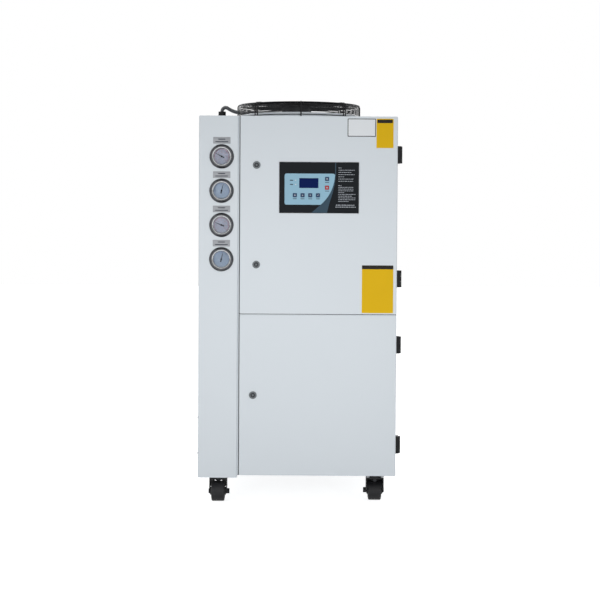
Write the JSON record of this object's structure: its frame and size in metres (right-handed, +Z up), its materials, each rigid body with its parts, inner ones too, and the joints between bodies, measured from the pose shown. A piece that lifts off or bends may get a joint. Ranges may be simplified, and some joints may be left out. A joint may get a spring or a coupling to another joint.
{
  "type": "air cooled water chiller",
  "caption": "Cabinet water chiller on casters with a gauge column, hinged front doors, a control panel, side condensers and a guarded roof fan.",
  "frame": {"origin": "on the floor under the middle of the cabinet", "axes": "+X to the right as seen from the front, +Y to the back, so the doors face -Y, +Z up"},
  "size_m": [0.637, 1.0295, 1.2845],
  "materials": {
    "panel_paint": "satin powder coat",
    "zinc_sheet": "galvanised",
    "device_plastic": "moulded",
    "fin_aluminium": "bare fins",
    "tank_steel": "brushed stainless",
    "black_paint": "satin black",
    "pump_paint": "gloss paint",
    "pipe_copper": "drawn tube",
    "socket_brass": "turned",
    "black_plastic": "moulded",
    "gauge_chrome": "polished",
    "dial_white": "printed",
    "pointer_black": "matte",
    "gauge_glass": "clear",
    "lock_zinc": "cast zinc",
    "panel_black": "membrane",
    "overlay_blue": "membrane",
    "display_navy": "unlit display",
    "key_grey": "membrane",
    "wheel_rubber": "tread"
  },
  "bodies": {
    "cabinet": {"base_tray": "panel_paint", "left_side_panel": "panel_paint", "right_side_panel": "panel_paint", "left_access_cover": "panel_paint", "rear_upper_panel": "panel_paint", "rear_lower_panel": "panel_paint", "roof_panel": "panel_paint", "front_column": "panel_paint", "door_frame_stiles": "panel_paint", "door_frame_rails": "panel_paint", "condenser_deck": "zinc_sheet", "electrical_plate": "zinc_sheet", "electrical_gear": "device_plastic", "condensers": "fin_aluminium", "water_tank": "tank_steel", "compressor": "black_paint", "circulation_pump": "pump_paint", "pipework": "pipe_copper", "water_sockets": "socket_brass", "supply_cable_gland": "black_plastic", "gauge_cases": "gauge_chrome", "gauge_dials": "dial_white", "gauge_pointers": "pointer_black", "gauge_lenses": "gauge_glass", "fixed_hinge_leaves": "black_plastic", "fan_collar": "panel_paint", "fan_guard_grille": "black_paint", "fan_guard_hoops": "black_paint", "fan_guard_legs": "black_paint", "fan_motor": "black_paint", "fan_conduit": "black_plastic", "conduit_gland": "black_plastic", "caster_plates": "black_paint"},
    "control_door": {"control_door": "panel_paint", "control_door_hinges": "black_plastic", "control_door_locks": "lock_zinc", "control_panel": "panel_black", "keypad_overlay": "overlay_blue", "display_window": "display_navy", "keypad_keys": "key_grey", "controller_box": "device_plastic"},
    "service_door": {"service_door": "panel_paint", "service_door_hinges": "black_plastic", "service_door_lock": "lock_zinc"},
    "fan_rotor": {"fan_rotor": "black_paint"},
    "front_left_swivel": {"front_left_fork": "black_paint"},
    "front_left_wheel": {"front_left_wheel": "wheel_rubber"},
    "front_right_swivel": {"front_right_fork": "black_paint"},
    "front_right_wheel": {"front_right_wheel": "wheel_rubber"},
    "rear_left_swivel": {"rear_left_fork": "black_paint"},
    "rear_left_wheel": {"rear_left_wheel": "wheel_rubber"},
    "rear_right_swivel": {"rear_right_fork": "black_paint"},
    "rear_right_wheel": {"rear_right_wheel": "wheel_rubber"}
  },
  "joints": [
    {"name": "control_door_hinge", "type": "hinge", "parent": "cabinet", "child": "control_door", "pos_m": [0.318, -0.4735, 0.8985], "axis": [0, 0, 1], "range_deg": [0, 120]},
    {"name": "service_door_hinge", "type": "hinge", "parent": "cabinet", "child": "service_door", "pos_m": [0.318, -0.4735, 0.339], "axis": [0, 0, 1], "range_deg": [0, 120]},
    {"name": "fan_spin", "type": "hinge", "parent": "cabinet", "child": "fan_rotor", "pos_m": [0, 0, 1.207], "axis": [0, 0, 1], "continuous": true},
    {"name": "front_left_swivel", "type": "hinge", "parent": "cabinet", "child": "front_left_swivel", "pos_m": [-0.248, -0.425, 0.07], "axis": [0, 0, 1], "continuous": true},
    {"name": "front_left_roll", "type": "hinge", "parent": "front_left_swivel", "child": "front_left_wheel", "pos_m": [-0.248, -0.447, 0.032], "axis": [1, 0, 0], "continuous": true},
    {"name": "front_right_swivel", "type": "hinge", "parent": "cabinet", "child": "front_right_swivel", "pos_m": [0.248, -0.425, 0.07], "axis": [0, 0, 1], "continuous": true},
    {"name": "front_right_roll", "type": "hinge", "parent": "front_right_swivel", "child": "front_right_wheel", "pos_m": [0.248, -0.403, 0.032], "axis": [1, 0, 0], "continuous": true},
    {"name": "rear_left_swivel", "type": "hinge", "parent": "cabinet", "child": "rear_left_swivel", "pos_m": [-0.248, 0.425, 0.07], "axis": [0, 0, 1], "continuous": true},
    {"name": "rear_left_roll", "type": "hinge", "parent": "rear_left_swivel", "child": "rear_left_wheel", "pos_m": [-0.248, 0.447, 0.032], "axis": [1, 0, 0], "continuous": true},
    {"name": "rear_right_swivel", "type": "hinge", "parent": "cabinet", "child": "rear_right_swivel", "pos_m": [0.248, 0.425, 0.07], "axis": [0, 0, 1], "continuous": true},
    {"name": "rear_right_roll", "type": "hinge", "parent": "rear_right_swivel", "child": "rear_right_wheel", "pos_m": [0.248, 0.447, 0.032], "axis": [1, 0, 0], "continuous": true}
  ]
}
